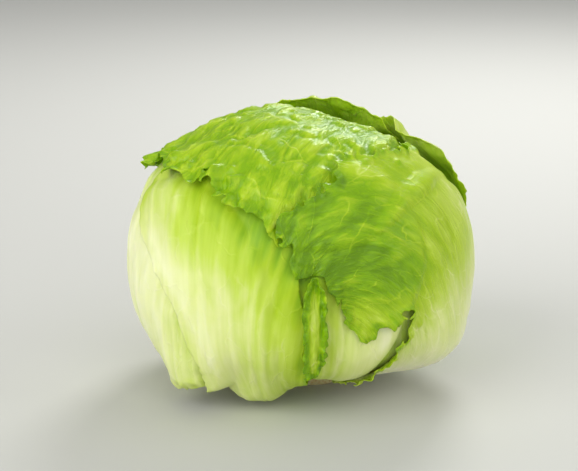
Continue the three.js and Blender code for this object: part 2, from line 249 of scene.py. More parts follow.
def reach_at(outline, bearing):
    knots = np.array(outline, float)
    x = np.concatenate([knots[-2:, 0] - 360, knots[:, 0], knots[:2, 0] + 360])
    y = np.concatenate([knots[-2:, 1], knots[:, 1], knots[:2, 1]])
    width, rise = np.diff(x), np.diff(y) / np.diff(x)
    slope = np.zeros_like(y)
    before, after = rise[:-1], rise[1:]
    same = before * after > 0
    slope[1:-1][same] = 2 * before[same] * after[same] / (before[same] + after[same])
    i = np.clip(np.searchsorted(x, bearing, side="right") - 1, 0, len(width) - 1)
    t = (bearing - x[i]) / width[i]
    start = y[i] * (1 + 2 * t) * (1 - t) ** 2 + slope[i] * width[i] * t * (1 - t) ** 2
    return start + y[i + 1] * t * t * (3 - 2 * t) - slope[i + 1] * width[i] * t * t * (1 - t)


def inside_edge(leaf, directions):
    azimuth, latitude = leaf["azimuth"], leaf["latitude"]
    middle, up = direction_at(azimuth, latitude), direction_at(azimuth, latitude + 90)
    right = direction_at(azimuth + 90, 0.0)
    bearing = np.degrees(np.arctan2(directions @ right, directions @ up)) % 360
    within = reach_at(leaf["outline"], bearing) > ARC * np.arccos(np.clip(directions @ middle, -1, 1))
    ring = np.linspace(0, 360, 900, endpoint=False)
    span = reach_at(leaf["outline"], ring)[:, None] / ARC
    turn = np.radians(ring)[:, None]
    edge = np.cos(span) * middle + np.sin(span) * (np.cos(turn) * up + np.sin(turn) * right)
    nearest = np.concatenate([(part @ edge.T).max(1) for part in np.array_split(directions, 16)])
    away = ARC * np.arccos(np.clip(nearest, -1, 1))
    return np.where(within, away, -away), bearing


def along_and_beside(grows, directions):
    base, ahead = direction_at(grows, -80.0), direction_at(grows, 10.0)
    along = np.degrees(np.arctan2(directions @ ahead, directions @ base))
    along = ARC * np.radians(np.where(along < -60, along + 360, along))
    beside = ARC * np.arcsin(np.clip(directions @ np.cross(ahead, base), -1, 1))
    return along, beside


front = direction_at(0.0, 0.0)[None]
print("front of the head: inside by", {leaf["name"]: round(float(inside_edge(leaf, front)[0][0])) for leaf in LEAVES})

# %% [markdown]
# ## Laying the leaves over each other
# A leaf lies one layer above every leaf below it, and comes down softly beyond that leaf's edge, as cloth does
# over a step. The head's outer form is an ellipse seen from above, domed above its widest height and flatter
# below, with a shallow hollow at the back of the crown. The heart inside is whatever room the leaves leave.
# A knuckle is the bulge of a thick rib, and a flare is a stretch of edge that stands off the head.

# %% Drape the leaves
HEAD_HALF = (83.5, 78.5)
HEAD_ABOVE, HEAD_BELOW = (74.0, 2.3), (50.0, 3.0)
CROWN_HOLLOW = (110, 52, -7, 34)
LAYER = 1.7
SPARE = 2.4
DRAPE_FROM, DRAPE_TO = -13.0, -1.5
HEART_SOFTNESS = 24


def smoothstep(low, high, value):
    t = np.clip((value - low) / (high - low), 0, 1)
    return t * t * (3 - 2 * t)


def mound(directions, azimuth, latitude, rise, spread):
    away = ARC * np.arccos(np.clip(directions @ direction_at(azimuth, latitude), -1, 1))
    return rise * np.exp(-((away / spread) ** 2))


def head_radius(directions):
    across = np.hypot(directions[:, 0] / HEAD_HALF[0], directions[:, 1] / HEAD_HALF[1])
    above = directions[:, 2] > 0
    rise = np.where(above, HEAD_ABOVE[0], HEAD_BELOW[0])
    fullness = np.where(above, HEAD_ABOVE[1], HEAD_BELOW[1])
    outline = (across**fullness + np.abs(directions[:, 2] / rise) ** fullness) ** (-1 / fullness)
    return outline + mound(directions, *CROWN_HOLLOW)


def own_rise(leaf, directions, inside, bearing):
    rise = np.zeros(len(directions))
    if "knuckle" in leaf:
        rise += mound(directions, *leaf["knuckle"])
    if "flare" in leaf:
        middle, spread, height, depth = leaf["flare"]
        turn = (bearing - middle + 180) % 360 - 180
        rise += height * np.exp(-((turn / spread) ** 2)) * (1 - smoothstep(0, depth, inside))
    return rise


def lay_leaves(directions):
    placed = [inside_edge(leaf, directions) for leaf in LEAVES]
    layers = sum(smoothstep(-HEART_SOFTNESS, HEART_SOFTNESS, inside) for inside, _ in placed)
    heart = head_radius(directions) - LAYER * layers - SPARE
    lifts = []
    for leaf, (inside, bearing) in itertools.zip_longest(LEAVES + [None], placed, fillvalue=(None, None)):
        lift = np.full(len(directions), LAYER / 2)
        for below, (other, _) in zip(lifts, placed):
            lift = np.maximum(lift, smoothstep(DRAPE_FROM, DRAPE_TO, other) * (below + LAYER))
        lifts.append(lift if leaf is None else lift + own_rise(leaf, directions, inside, bearing))
    return heart, lifts, [inside for inside, _ in placed]


heart_radius, net_lifts, net_inside = lay_leaves(net)
print("heart radius from", round(heart_radius.min()), "to", round(heart_radius.max()), "mm")

# %% [markdown]
# ## The narrow leaf's place
# One narrow leaf lies up the front, over the two pale leaves. It is slimmer than the net is fine, so it gets
# a grid of its own later on, but its place is needed now: the leaves below it stay flat where it presses.

# %% Place the narrow leaf
SLIVER_AZIMUTH = 3.5
SLIVER_LATITUDES = (-26.0, 11.0)
SLIVER_HALF_WIDTHS = [3.0, 4.4, 5.0, 5.2, 5.0, 3.8, 1.0]
PRESS = (-7, 1)


def inside_sliver(directions):
    azimuth = np.degrees(np.arctan2(directions[:, 0], -directions[:, 1]))
    latitude = np.degrees(np.arcsin(directions[:, 2]))
    low, high = SLIVER_LATITUDES
    share = (latitude - low) / (high - low)
    half = np.interp(share, np.linspace(0, 1, len(SLIVER_HALF_WIDTHS)), SLIVER_HALF_WIDTHS)
    beside = np.abs(np.radians(azimuth - SLIVER_AZIMUTH)) * ARC * np.cos(np.radians(latitude))
    beyond = ARC * np.radians(np.maximum(low - latitude, latitude - high))
    return np.minimum(half - beside, -beyond)


above_leaves = net_inside + [inside_sliver(net)]
pressed = [smoothstep(*PRESS, other) for other in above_leaves]
net_covered = [np.max(pressed[n + 1:], axis=0) for n in range(len(LEAVES))]
print("directions under the narrow leaf:", int((above_leaves[-1] > 0).sum()))

# %% [markdown]
# ## Cutting a leaf out of the net
# A real edge is ragged, so smooth noise is added to the distance from the edge: long lobes and small pointed
# teeth. Triangles that the edge crosses are cut there, and small islands that the noise leaves outside the edge
# are dropped. Each sheet carries the numbers that its relief and its colours follow as attributes.

# %% Cut helpers
STEM_CLEAR = 15.2
LOBE_LENGTH, TOOTH_LENGTH = 9.0, 4.2


def soft_noise(points, seed):
    cell = np.floor(points).astype(np.int64)
    part = points - cell
    part = part * part * (3 - 2 * part)
    noise = np.zeros(len(points))
    for corner in itertools.product((0, 1), repeat=3):
        x, y, z = (cell + corner).T
        mixed = (x * 73856093) ^ (y * 19349663) ^ (z * 83492791) ^ (seed * 40503)
        mixed = ((mixed ^ (mixed >> 13)) * 1274126177) & 0xFFFFFFFF
        mixed = ((mixed ^ (mixed >> 16)) * 668265263) & 0xFFFFFFFF
        share = np.prod(np.where(corner, part, 1 - part), axis=1)
        noise += share * ((mixed >> 8 & 0xFFFF) / 32767.5 - 1)
    return noise


def cut_net(keep, triangles):
    flags = keep[triangles] > 0
    count = flags.sum(1)
    whole = triangles[count == 3]
    one = np.array([np.roll(t, -int(f.argmax())) for t, f in zip(triangles[count == 1], flags[count == 1])])
    two = np.array([np.roll(t, -int(f.argmin())) for t, f in zip(triangles[count == 2], flags[count == 2])])
    pairs = np.sort(np.concatenate([one[:, [0, 1]], one[:, [0, 2]], two[:, [0, 1]], two[:, [0, 2]]]), axis=1)
    edges, which = np.unique(pairs, axis=0, return_inverse=True)
    which = len(keep) + which.reshape(-1)
    p, q, r, s = np.split(which, np.cumsum([len(one), len(one), len(two)]))
    faces = np.concatenate([
        whole,
        np.stack([one[:, 0], p, q], 1),
        np.stack([two[:, 1], two[:, 2], s], 1),
        np.stack([two[:, 1], s, r], 1),
    ])
    share = keep[edges[:, 0]] / (keep[edges[:, 0]] - keep[edges[:, 1]])
    return faces, edges, np.clip(share, 0.12, 0.88)


def largest_island(faces, count):
    label = np.arange(count)
    while True:
        lowest = label[faces].min(1)
        np.minimum.at(label, faces.reshape(-1), np.repeat(lowest, 3))
        jumped = label[label]
        if (jumped == label).all() and (label[faces] == label[faces][:, :1]).all():
            break
        label = jumped
    mark = label[faces[:, 0]]
    names, sizes = np.unique(mark, return_counts=True)
    return faces[mark == names[sizes.argmax()]]


# %% Cut the leaves
def new_object(name, mesh):
    piece = bpy.data.objects.new(name, mesh)
    bpy.context.scene.collection.objects.link(piece)
    return piece


def sheet_mesh(name, points, faces, fields):
    mesh = bpy.data.meshes.new(name)
    mesh.from_pydata((points * MM).tolist(), [], faces.tolist())
    for field, values in fields.items():
        mesh.attributes.new(field, "FLOAT", "POINT").data.foreach_set("value", values.astype(np.float32))
    mesh.shade_smooth()
    return mesh


RIM_WIDTH = (1.5, 6.5)


def leaf_sheet(leaf, lift, inside, covered):
    lobes = soft_noise(net * ARC / LOBE_LENGTH, leaf["seed"])
    teeth = 1 - 2.5 * np.abs(soft_noise(net * ARC / TOOTH_LENGTH, leaf["seed"] + 1))
    points = HEAD_CENTRE + net * (heart_radius + lift)[:, None]
    from_stem = np.hypot(points[:, 0], points[:, 1]) - STEM_CLEAR
    keep = inside + leaf["ragged"][0] * lobes + leaf["ragged"][1] * teeth
    keep = np.where(net[:, 2] < 0, np.minimum(keep, from_stem), keep)
    faces, edges, share = cut_net(keep, net_triangles)
    faces = largest_island(faces, len(net) + len(edges))
    used, faces = np.unique(faces, return_inverse=True)

    def on_leaf(values):
        part = share if values.ndim == 1 else share[:, None]
        cut = values[edges[:, 0]] * (1 - part) + values[edges[:, 1]] * part
        return np.concatenate([values, cut])[used]

    along, beside = (on_leaf(values) for values in along_and_beside(leaf["grows"], net))
    edge = np.maximum(on_leaf(keep), 0)
    tone = np.interp(along, *zip(*leaf["tone"])) + np.interp(beside, *zip(*leaf.get("side_tone", [(0, 0)])))
    fields = {
        "along": along,
        "fan": beside * (RIB_ORIGIN + FAN_AT) / (RIB_ORIGIN + np.maximum(along, 0)),
        "edge": edge,
        "covered": on_leaf(covered),
        # crease strength: sets the fine crease bump and its painted light and shade
        "crease": np.full(len(along), leaf.get("crease", 0.6)),
        "tone": tone * (1 - leaf.get("rim", 0.12) * (1 - smoothstep(*RIM_WIDTH, edge))),
    }
    return sheet_mesh(leaf["name"], on_leaf(points), faces.reshape(-1, 3), fields)


sheets = {leaf["name"]: leaf_sheet(leaf, *facts) for leaf, *facts in zip(LEAVES, net_lifts, net_inside, net_covered)}
print(sum(len(sheet.polygons) for sheet in sheets.values()), "triangles in", len(sheets), "sheets")

# %% [markdown]
# ## Helpers for finishes
# Colours are written as sRGB hex values, as they look on a screen, and shaders calculate with linear light, so
# one function converts them. Another adds a node to a tree, sets its inputs and the stops of a colour ramp, and
# links whatever is handed to it.

# %% Finish helpers
def linear(hex_colour):
    parts = [int(hex_colour[n:n + 2], 16) / 255 for n in (1, 3, 5)]
    return [p / 12.92 if p <= 0.04045 else ((p + 0.055) / 1.055) ** 2.4 for p in parts] + [1.0]


def add(tree, kind, inputs=None, stops=(), **settings):
    node = tree.nodes.new(kind)
    for name, value in settings.items():
        setattr(node, name, value)
    for socket, value in (inputs or {}).items():
        if isinstance(value, bpy.types.Node):
            value = value.outputs[0]
        if isinstance(value, bpy.types.NodeSocket):
            tree.links.new(value, node.inputs[socket])
        else:
            node.inputs[socket].default_value = value
    if stops:
        elements = node.color_ramp.elements
        while len(elements) < len(stops):
            elements.new(0.5)
        for element, (place, colour) in zip(elements, stops):
            element.position, element.color = place, linear(colour)
    return node


def new_finish(name):
    finish = bpy.data.materials.new(name)
    finish.use_nodes = True
    return finish, finish.node_tree, finish.node_tree.nodes["Principled BSDF"]


print("white is", linear("#ffffff")[:3])

# %% [markdown]
# ## Leaf finishes
# The hollows between folds are painted darker as shade, and the fine creases get painted light and shade.
# Near the stem a leaf is almost white, because its ribs are thick and hold little green. Further out it turns
# yellow-green and then fresh green, and ribs and veins stay paler than the blade between them. Colour could be
# painted on by hand, but here it follows the numbers that shape the leaf: each mesh carries its tone, ribs and
# folds as attributes, and one colour ramp turns their sum into a colour. Fine streaks and a net of veins are
# drawn by the shader, in the leaf's own fanned coordinates, because they are finer than the mesh.
# Light enters the blade a little before it comes out again, so the shader scatters light below the surface.

# %% Leaf finishes
LEAF_TONES = [
    (0.0, "#638d00"), (0.2, "#81ad00"), (0.4, "#a7c61e"), (0.58, "#bed74c"), (0.78, "#dde896"), (1.0, "#fbfdd4"),
]
STREAK_WIDTH, STREAK_LENGTH = 2.2, 40.0
VEIN_SPACING, VEIN_LENGTH = 13.0, 20.0
CREASE_WIDTH, CREASE_LENGTH = 2.8, 20.0
CLOUD_SIZE = 20.0


def leaf_finish(name, roughness, weights, crease_height):
    finish, tree, shader = new_finish(name)
    names = ("along", "fan", "tone", "crease", "rib", "hollow")
    field = {n: add(tree, "ShaderNodeAttribute", attribute_name=n).outputs["Fac"] for n in names}

    def fanned(width, length):
        across = add(tree, "ShaderNodeMath", {0: field["fan"], 1: width}, operation="DIVIDE")
        along = add(tree, "ShaderNodeMath", {0: field["along"], 1: length}, operation="DIVIDE")
        return add(tree, "ShaderNodeCombineXYZ", {0: across, 1: along})

    place = add(tree, "ShaderNodeTexCoord").outputs["Object"]
    cloud = add(tree, "ShaderNodeTexNoise", {"Vector": place, "Scale": 1 / (CLOUD_SIZE * MM), "Detail": 4.0})
    streak = add(tree, "ShaderNodeTexNoise", {"Vector": fanned(STREAK_WIDTH, STREAK_LENGTH), "Scale": 1.0,
                                              "Detail": 3.0})
    wander = add(tree, "ShaderNodeTexNoise", {"Vector": fanned(VEIN_SPACING, VEIN_LENGTH), "Scale": 1.4,
                                              "Detail": 2.0})
    bent = add(tree, "ShaderNodeVectorMath", {0: wander.outputs["Color"], 1: (0.9, 0.9, 0),
                                              2: fanned(VEIN_SPACING, VEIN_LENGTH)}, operation="MULTIPLY_ADD")
    cells = add(tree, "ShaderNodeTexVoronoi", {"Vector": bent, "Scale": 1.0}, feature="DISTANCE_TO_EDGE",
                voronoi_dimensions="2D")
    line = add(tree, "ShaderNodeMapRange", {0: cells, 1: 0.0, 2: 0.05, 3: 1.0, 4: 0.0})
    shown = add(tree, "ShaderNodeMapRange", {0: wander, 1: 0.4, 2: 0.62})
    vein = add(tree, "ShaderNodeMath", {0: line, 1: shown}, operation="MULTIPLY")
    # The fine crease pattern drives both the bump and the colour; in the colour it is painted light and shade, darker
    # along the crease lines.
    crease = add(tree, "ShaderNodeTexNoise", {"Vector": fanned(CREASE_WIDTH, CREASE_LENGTH), "Scale": 1.0,
                                              "Detail": 4.0, "Roughness": 0.6, "Distortion": 0.5})
    crease = add(tree, "ShaderNodeMath", {0: crease, 1: 0.5}, operation="SUBTRACT")
    crease = add(tree, "ShaderNodeMath", {0: crease}, operation="ABSOLUTE")
    crease = add(tree, "ShaderNodeMath", {0: crease, 1: field["crease"]}, operation="MULTIPLY")

    room = add(tree, "ShaderNodeMath", {0: 1.2, 1: field["tone"]}, operation="SUBTRACT")
    marks = weights["ground"]
    # Rib, streak, vein and cloud are the leaf's own colour; the term for the hollows between folds is painted shade,
    # and the crease term paints light and shade along the fine creases.
    for mark, weight in ((field["rib"], "rib"), (streak, "streak"), (vein, "vein"), (field["hollow"], "hollow"),
                         (cloud, "cloud"), (crease, "crease")):
        marks = add(tree, "ShaderNodeMath", {0: mark, 1: weights[weight], 2: marks}, operation="MULTIPLY_ADD")
    tone = add(tree, "ShaderNodeMath", {0: marks, 1: room, 2: field["tone"]}, operation="MULTIPLY_ADD")
    colour = add(tree, "ShaderNodeValToRGB", {"Fac": tone}, LEAF_TONES)
    tree.links.new(colour.outputs["Color"], shader.inputs["Base Color"])

    height = 0.0
    for mark, rise in ((streak, 0.12), (vein, 0.15), (crease, crease_height)):
        height = add(tree, "ShaderNodeMath", {0: mark, 1: rise, 2: height}, operation="MULTIPLY_ADD")
    bump = add(tree, "ShaderNodeBump", {"Strength": 1.0, "Distance": MM, "Height": height})
    tree.links.new(bump.outputs[0], shader.inputs["Normal"])
    gloss = add(tree, "ShaderNodeMapRange", {0: cloud, 1: 0.3, 2: 0.7, 3: roughness - 0.07, 4: roughness + 0.09})
    tree.links.new(gloss.outputs[0], shader.inputs["Roughness"])
    shader.inputs["IOR"].default_value = 1.42
    shader.inputs["Specular IOR Level"].default_value = 0.35
    shader.inputs["Subsurface Weight"].default_value = 0.25
    shader.inputs["Subsurface Radius"].default_value = (0.8, 1.0, 0.25)
    shader.inputs["Subsurface Scale"].default_value = 3 * MM
    return finish


# Thick rib tissue full of water: nearly white, streaked along the ribs, with a soft satin wax, and painted shade in
# the hollows between folds.
pale_leaf_finish = leaf_finish("pale_leaf", 0.46, {
    "ground": -0.38, "rib": 0.14, "streak": 0.34, "vein": 0.1, "hollow": -0.1, "cloud": 0.3, "crease": 0.0}, 0.1)
# Thin leaf blade: fresh green with paler veins, finely creased, glossier where the wax is smooth, with painted shade
# in the hollows between folds and painted light and shade along the fine creases.
green_leaf_finish = leaf_finish("green_leaf", 0.35, {
    "ground": -0.24, "rib": 0.06, "streak": 0.1, "vein": 0.22, "hollow": -0.18, "cloud": 0.26, "crease": 1.4}, 2.4)
print("finishes:", pale_leaf_finish.name, green_leaf_finish.name)

# %% [markdown]
# ## Pressing the relief into a leaf
# Ribs, folds and frills repeat over every leaf and differ only in size, so they are one Geometry Nodes tree
# with named inputs. It moves each point out from the head's middle by a height in millimetres.
# Heights are never negative and fade where another leaf presses on top, so no leaf is pushed into the next.
# The tree also stores the ribs and the hollows between folds as attributes: the finish makes the ribs paler and
# paints shade into the hollows.

# %% Build the relief tree
RELIEF_INPUTS = {
    "Swell Height": 1.5, "Swell Length": 42.0, "Rib Height": 0.5, "Rib Width": 12.0, "Fold Height": 0.3,
    "Fold Width": 10.0, "Frill Height": 1.5, "Frill Length": 9.0, "Frill Depth": 11.0, "Curl Height": 0.3,
    "Seed": 0.0,
}


def relief_tree():
    tree = bpy.data.node_groups.new("leaf_relief", "GeometryNodeTree")
    tree.interface.new_socket("Leaf", in_out="INPUT", socket_type="NodeSocketGeometry")
    for name, value in RELIEF_INPUTS.items():
        socket = tree.interface.new_socket(name, in_out="INPUT", socket_type="NodeSocketFloat")
        socket.default_value = value
    tree.interface.new_socket("Finish", in_out="INPUT", socket_type="NodeSocketMaterial")
    tree.interface.new_socket("Leaf", in_out="OUTPUT", socket_type="NodeSocketGeometry")
    size = add(tree, "NodeGroupInput").outputs
    names = ("along", "fan", "edge", "covered")
    field = {n: add(tree, "GeometryNodeInputNamedAttribute", {"Name": n}, data_type="FLOAT").outputs[0]
             for n in names}
    position = add(tree, "GeometryNodeInputPosition")

    def fanned(width, stretch, shift):
        across = add(tree, "ShaderNodeMath", {0: field["fan"], 1: width}, operation="DIVIDE")
        length = add(tree, "ShaderNodeMath", {0: width, 1: stretch}, operation="MULTIPLY")
        along = add(tree, "ShaderNodeMath", {0: field["along"], 1: length}, operation="DIVIDE")
        seed = add(tree, "ShaderNodeMath", {0: size["Seed"], 1: shift}, operation="ADD")
        return add(tree, "ShaderNodeCombineXYZ", {0: across, 1: along, 2: seed})

    def round_patch(length, shift):
        scale = add(tree, "ShaderNodeMath", {0: 1 / MM, 1: length}, operation="DIVIDE")
        seed = add(tree, "ShaderNodeMath", {0: size["Seed"], 1: shift}, operation="ADD")
        moved = add(tree, "ShaderNodeVectorMath", {0: position, 1: scale, 2: seed}, operation="MULTIPLY_ADD")
        return add(tree, "ShaderNodeTexNoise", {"Vector": moved, "Scale": 1.0, "Detail": 1.0})

    swell = add(tree, "ShaderNodeMapRange", {0: round_patch(size["Swell Length"], 3.1), 1: 0.3, 2: 0.7},
                interpolation_type="SMOOTHSTEP")
    drift = add(tree, "ShaderNodeTexNoise", {"Vector": fanned(size["Rib Width"], 5.0, 7.7), "Scale": 0.45,
                                             "Detail": 2.0})
    turns = add(tree, "ShaderNodeMath", {0: field["fan"], 1: size["Rib Width"]}, operation="DIVIDE")
    turns = add(tree, "ShaderNodeMath", {0: drift, 1: 5.5, 2: turns}, operation="MULTIPLY_ADD")
    wave = add(tree, "ShaderNodeMath", {0: turns, 1: math.tau}, operation="MULTIPLY")
    wave = add(tree, "ShaderNodeMath", {0: wave}, operation="COSINE")
    rib = add(tree, "ShaderNodeMapRange", {0: wave, 1: -0.6, 2: 1.0}, interpolation_type="SMOOTHSTEP")
    fold = add(tree, "ShaderNodeTexNoise", {"Vector": fanned(size["Fold Width"], 2.4, 17.3), "Scale": 1.0,
                                            "Detail": 1.5, "Distortion": 0.5})
    fold = add(tree, "ShaderNodeMath", {0: fold, 1: 0.5}, operation="SUBTRACT")
    fold = add(tree, "ShaderNodeMath", {0: fold}, operation="ABSOLUTE")
    fold = add(tree, "ShaderNodeMapRange", {0: fold, 1: 0.0, 2: 0.2}, interpolation_type="SMOOTHSTEP")
    # Painted shade: how deep in a hollow between folds a point lies, stored for the finish to darken.
    hollow = add(tree, "ShaderNodeMath", {0: 1.0, 1: fold}, operation="SUBTRACT")
    near_edge = add(tree, "ShaderNodeMapRange", {0: field["edge"], 1: 0.0, 2: size["Frill Depth"], 3: 1.0, 4: 0.0},
                    interpolation_type="SMOOTHSTEP")
    frill = add(tree, "ShaderNodeMapRange", {0: round_patch(size["Frill Length"], 11.9), 1: 0.36, 2: 0.7},
                interpolation_type="SMOOTHSTEP")
    frill = add(tree, "ShaderNodeMath", {0: frill, 1: near_edge}, operation="MULTIPLY")
    curl = add(tree, "ShaderNodeMath", {0: near_edge, 1: 3.0}, operation="POWER")
    height = 0.0
    for part, name in ((swell, "Swell"), (rib, "Rib"), (fold, "Fold"), (frill, "Frill"), (curl, "Curl")):
        height = add(tree, "ShaderNodeMath", {0: part, 1: size[name + " Height"], 2: height},
                     operation="MULTIPLY_ADD")
    free = add(tree, "ShaderNodeMath", {0: 1.0, 1: field["covered"]}, operation="SUBTRACT")
    height = add(tree, "ShaderNodeMath", {0: height, 1: free}, operation="MULTIPLY")
    height = add(tree, "ShaderNodeMath", {0: height, 1: MM}, operation="MULTIPLY")
    from_centre = add(tree, "ShaderNodeVectorMath", {0: position, 1: HEAD_CENTRE * MM}, operation="SUBTRACT")
    outward = add(tree, "ShaderNodeVectorMath", {0: from_centre}, operation="NORMALIZE")
    offset = add(tree, "ShaderNodeVectorMath", {0: outward, "Scale": height}, operation="SCALE")

    shape = size["Leaf"]
    for name, value in (("rib", rib), ("hollow", hollow)):
        shape = add(tree, "GeometryNodeStoreNamedAttribute", {"Geometry": shape, "Name": name, "Value": value},
                    data_type="FLOAT", domain="POINT")
    shape = add(tree, "GeometryNodeSetPosition", {"Geometry": shape, "Offset": offset})
    shape = add(tree, "GeometryNodeRealizeInstances", {"Geometry": shape})
    shape = add(tree, "GeometryNodeSetMaterial", {"Geometry": shape, "Material": size["Finish"]})
    add(tree, "NodeGroupOutput", {"Leaf": shape})
    return tree


relief = relief_tree()
relief_socket = {item.name: item.identifier for item in relief.interface.items_tree if item.in_out == "INPUT"}
print("relief inputs:", ", ".join(name for name in relief_socket if name != "Leaf"))

# %% [markdown]
# ## The leaves
# Each sheet goes through the relief tree with its own sizes, and a Solidify modifier gives it a thickness that
# thins out towards the edge. The result is turned into a plain mesh, so no modifier is left on the piece.

# %% Finish the leaves
BLADE_THICKNESS = 1.0
PALE_LEAVES = ("left_lower_leaf", "right_lower_leaf", "front_right_leaf", "left_leaf", "front_left_leaf",
               "back_lower_leaf")


def stand_for(piece, node):
    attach(piece, "root")
    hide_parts(node)


def pressed_leaf(name, sheet, sizes):
    slot, finish = ("pale_leaf", pale_leaf_finish) if name in PALE_LEAVES else ("green_leaf", green_leaf_finish)
    maker = new_object(name + ".sheet", sheet)
    thin = maker.vertex_groups.new(name="thickness")
    edge = np.zeros(len(sheet.vertices), np.float32)
    sheet.attributes["edge"].data.foreach_get("value", edge)
    for level in range(1, 11):
        chosen = np.nonzero(np.ceil(np.clip(edge, 0.5, 10)).astype(int) == level)[0]
        thin.add(chosen.tolist(), level / 10, "REPLACE")
    press = maker.modifiers.new("relief", "NODES")
    press.node_group = relief
    for key, value in sizes.items():
        press[relief_socket[key]] = value
    press[relief_socket["Finish"]] = finish
    wall = maker.modifiers.new("thickness", "SOLIDIFY")
    wall.thickness, wall.offset = BLADE_THICKNESS * MM, -1.0
    wall.vertex_group, wall.thickness_vertex_group = "thickness", 0.35
    evaluated = maker.evaluated_get(bpy.context.evaluated_depsgraph_get())
    mesh = bpy.data.meshes.new_from_object(evaluated)
    bpy.data.objects.remove(maker)
    piece = new_object(name + "_blade", mesh)
    stand_for(piece, name)
    print(piece.name, len(piece.data.polygons), "faces")
    return piece


for leaf in LEAVES:
    pressed_leaf(leaf["name"], sheets[leaf["name"]], {**leaf["relief"], "Seed": float(leaf["seed"])})

# %% [markdown]
# ## The narrow leaf
# This small leaf has a light middle strip between dark frilled margins, greener than the middle and darkened
# further by painted shade where they curl in. Its sheet is a fine strip along one meridian, laid over everything
# below it by the same rule as the others. Its two edges get small teeth, and the relief tree ruffles the margins.

# %% Make the narrow leaf
SLIVER_ROWS, SLIVER_COLUMNS = 200, 33
SLIVER_TOOTH, SLIVER_LOBE, SLIVER_BEND = 2.3, 9.0, 22.0
SLIVER_LIFT = 0.4
# The drop in tone at the margin is partly greener tissue and partly painted shade of the curled-in margins.
SLIVER_TONE, SLIVER_RIM_GREEN_AND_SHADE, SLIVER_RIM_WIDTH = 0.55, 0.36, (1.4, 4.0)


def sliver_sheet():
    share = np.repeat(np.linspace(0, 1, SLIVER_ROWS), SLIVER_COLUMNS)
    across = np.tile(np.linspace(-1, 1, SLIVER_COLUMNS), SLIVER_ROWS)
    low, high = SLIVER_LATITUDES
    latitude = low + (high - low) * share
    run = share * ARC * np.radians(high - low)
    side = np.sign(across)
    teeth = soft_noise(np.stack([run / SLIVER_TOOTH, side * 5.3, 0 * run], 1), 41)
    lobes = soft_noise(np.stack([run / SLIVER_LOBE, side * 3.1, 0 * run + 4.4], 1), 43)
    half = np.interp(share, np.linspace(0, 1, len(SLIVER_HALF_WIDTHS)), SLIVER_HALF_WIDTHS)
    half = half + smoothstep(0.4, 1.0, np.abs(across)) * (1.1 * teeth + 0.9 * lobes)
    wander = 1.2 * soft_noise(np.stack([run / SLIVER_BEND, 0 * run, 0 * run + 7.7], 1), 47)
    beside = across * half + wander
    azimuth = SLIVER_AZIMUTH + np.degrees(beside / (ARC * np.cos(np.radians(latitude))))
    directions = direction_at(azimuth, latitude)
    heart, lifts, _ = lay_leaves(directions)
    points = HEAD_CENTRE + directions * (heart + lifts[-1] + SLIVER_LIFT)[:, None]
    row, column = np.meshgrid(np.arange(SLIVER_ROWS - 1), np.arange(SLIVER_COLUMNS - 1), indexing="ij")
    first = (row * SLIVER_COLUMNS + column).reshape(-1)
    faces = np.stack([first, first + 1, first + SLIVER_COLUMNS + 1, first + SLIVER_COLUMNS], 1)
    edge = np.minimum((1 - np.abs(across)) * half, np.minimum(run, run.max() - run))
    fields = {
        "along": 80 + run, "fan": beside, "edge": edge, "covered": 0 * run, "crease": 0 * run + 0.6,
        # margin tone: greener tissue plus painted shade of the curled-in margin
        "tone": SLIVER_TONE - SLIVER_RIM_GREEN_AND_SHADE * (1 - smoothstep(*SLIVER_RIM_WIDTH, edge)),
    }
    return sheet_mesh("sliver_leaf", points, faces, fields)


pressed_leaf("sliver_leaf", sliver_sheet(), {
    "Swell Height": 0.2, "Rib Height": 0.5, "Rib Width": 5.0, "Fold Height": 0.2, "Fold Width": 4.0,
    "Frill Height": 1.5, "Frill Length": 3.6, "Frill Depth": 4.2, "Curl Height": 0.8, "Seed": 41.0})

# %% [markdown]
# ## The stem and the heart
# The stem is cut across below the leaves. A fresh cut is pale, and within hours it browns, most of all along the
# rim and in the ring of small bundles that carry the sap. The side shows the scars of leaves that were taken off.
# The heart fills the middle. Only its colour could ever be seen, between two leaves, so its solid stays as it is.

